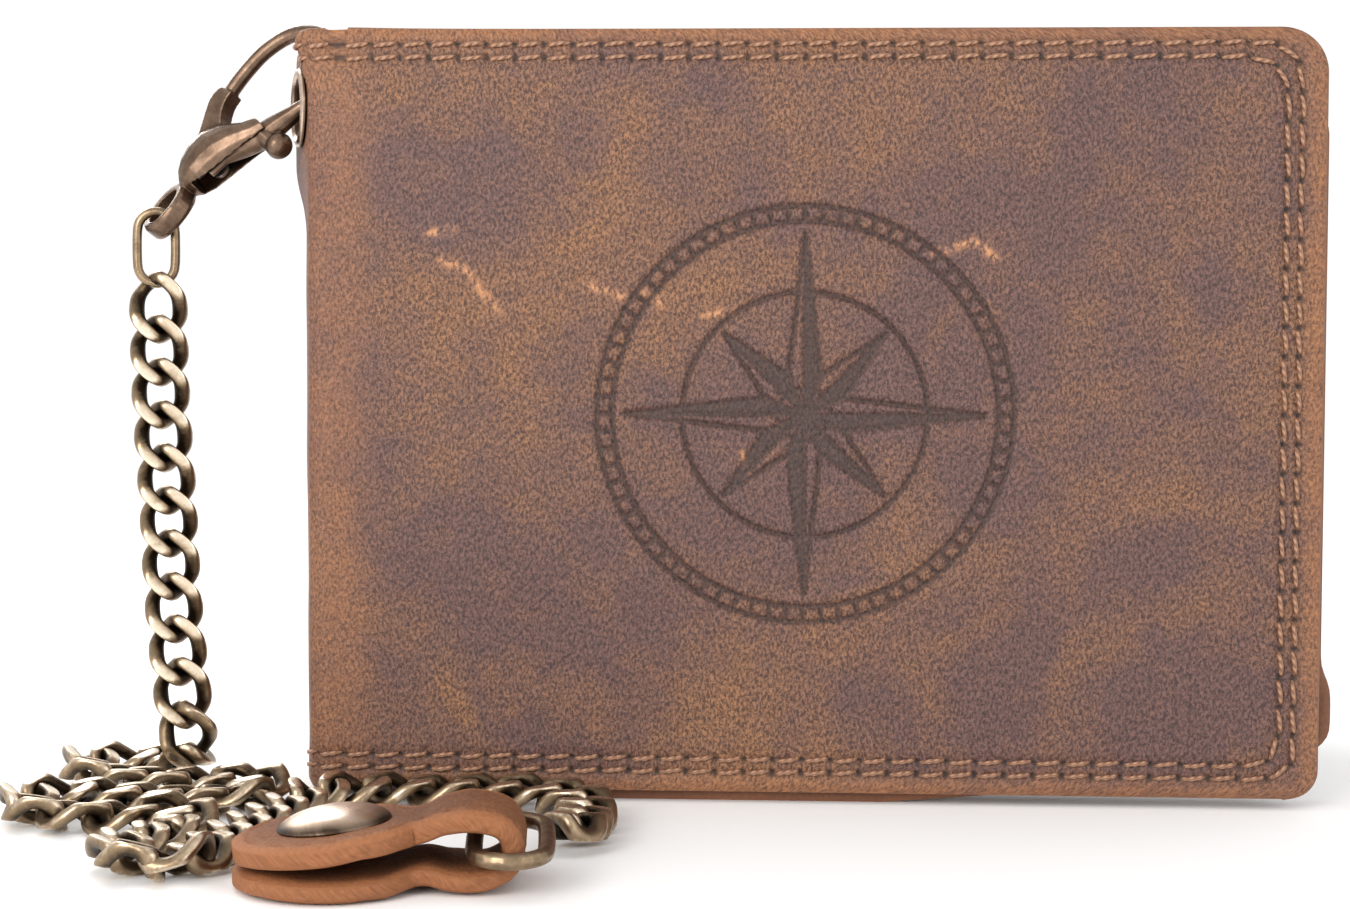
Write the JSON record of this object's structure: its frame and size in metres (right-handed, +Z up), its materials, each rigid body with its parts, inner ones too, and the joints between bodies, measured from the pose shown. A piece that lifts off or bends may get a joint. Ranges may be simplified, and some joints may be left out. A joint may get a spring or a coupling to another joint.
{
  "type": "chain wallet",
  "caption": "Bifold leather wallet standing slightly open, with a sprung clasp through the eyelet in its spine, a curb chain and a snap tab for a belt loop.",
  "frame": {"origin": "middle of the front cover's standing edge, where its lining meets the surface it stands on", "axes": "+Z up, +X to the right along the front cover, -Y out of the front cover"},
  "size_m": [0.1585, 0.1288, 0.0969],
  "materials": {
    "leather": "waxed pull-up cowhide, purple-brown with orange-brown grain",
    "lining_leather": "thin smooth brown leather, matt",
    "tab_leather": "thick waxed strap with raw fibrous edges",
    "antique_brass": "antiqued, dark in the hollows, worn bright on the ridges",
    "chain_brass": "antiqued and tumbled, bright high faces",
    "spring_steel": "plain drawn spring wire",
    "clear_window": "clear flexible film, glossy"
  },
  "bodies": {
    "wallet": {"front_cover": "leather", "front_lining": "lining_leather", "card_pocket_1": "lining_leather", "card_pocket_2": "lining_leather", "card_pocket_3": "lining_leather", "spine": "leather", "eyelet": "antique_brass", "eyelet_washer": "antique_brass", "chain_hanging": "chain_brass", "chain_pile": "chain_brass", "end_ring": "chain_brass", "tab_lower": "tab_leather", "tab_snap_stud": "antique_brass"},
    "back": {"back_cover": "leather", "back_lining": "lining_leather", "coin_pocket_front": "lining_leather", "coin_gusset_left": "lining_leather", "coin_gusset_right": "lining_leather", "coin_gusset_bottom": "lining_leather", "coin_snap_stud": "antique_brass"},
    "coin_lid": {"coin_flap": "lining_leather", "coin_snap_cap": "antique_brass"},
    "leaf": {"leaf_panel": "lining_leather", "id_window": "clear_window", "leaf_pocket_1": "lining_leather", "leaf_pocket_2": "lining_leather"},
    "clasp": {"clasp_body": "antique_brass", "gate_pin": "antique_brass", "gate_spring": "spring_steel", "clasp_link": "chain_brass"},
    "gate": {"clasp_gate": "antique_brass"},
    "tab_lid": {"tab_upper": "tab_leather", "tab_snap_cap": "antique_brass", "tab_snap_socket": "antique_brass"}
  },
  "joints": [
    {"name": "cover_fold", "type": "hinge", "parent": "wallet", "child": "back", "pos_m": [-0.0642, 0.0159, 0.0475], "axis": [0, 0, 1], "range_deg": [-24, 96]},
    {"name": "coin_flap_lift", "type": "hinge", "parent": "back", "child": "coin_lid", "pos_m": [0.01121, 0.04739, 0.068], "axis": [-0.9135, -0.4067, 0], "range_deg": [0, 80]},
    {"name": "leaf_turn", "type": "hinge", "parent": "wallet", "child": "leaf", "pos_m": [-0.0619, 0.0055, 0.046], "axis": [0, 0, 1], "range_deg": [0, 18]},
    {"name": "clasp_swing", "type": "hinge", "parent": "wallet", "child": "clasp", "pos_m": [-0.06352, 0.00375, 0.08631], "axis": [0, 1, 0], "range_deg": [0, 12]},
    {"name": "gate_swing", "type": "hinge", "parent": "clasp", "child": "gate", "pos_m": [-0.07482, 0.00537, 0.07904], "axis": [-0.3373, -0.8823, 0.3283], "range_deg": [0, 6], "stiffness_Nm_per_rad": 0.01, "springref_deg": -5.73},
    {"name": "tab_open", "type": "hinge", "parent": "wallet", "child": "tab_lid", "pos_m": [-0.03945, -0.04852, 0.00735], "axis": [-0.1045, 0.9945, 0], "range_deg": [0, 120]}
  ]
}
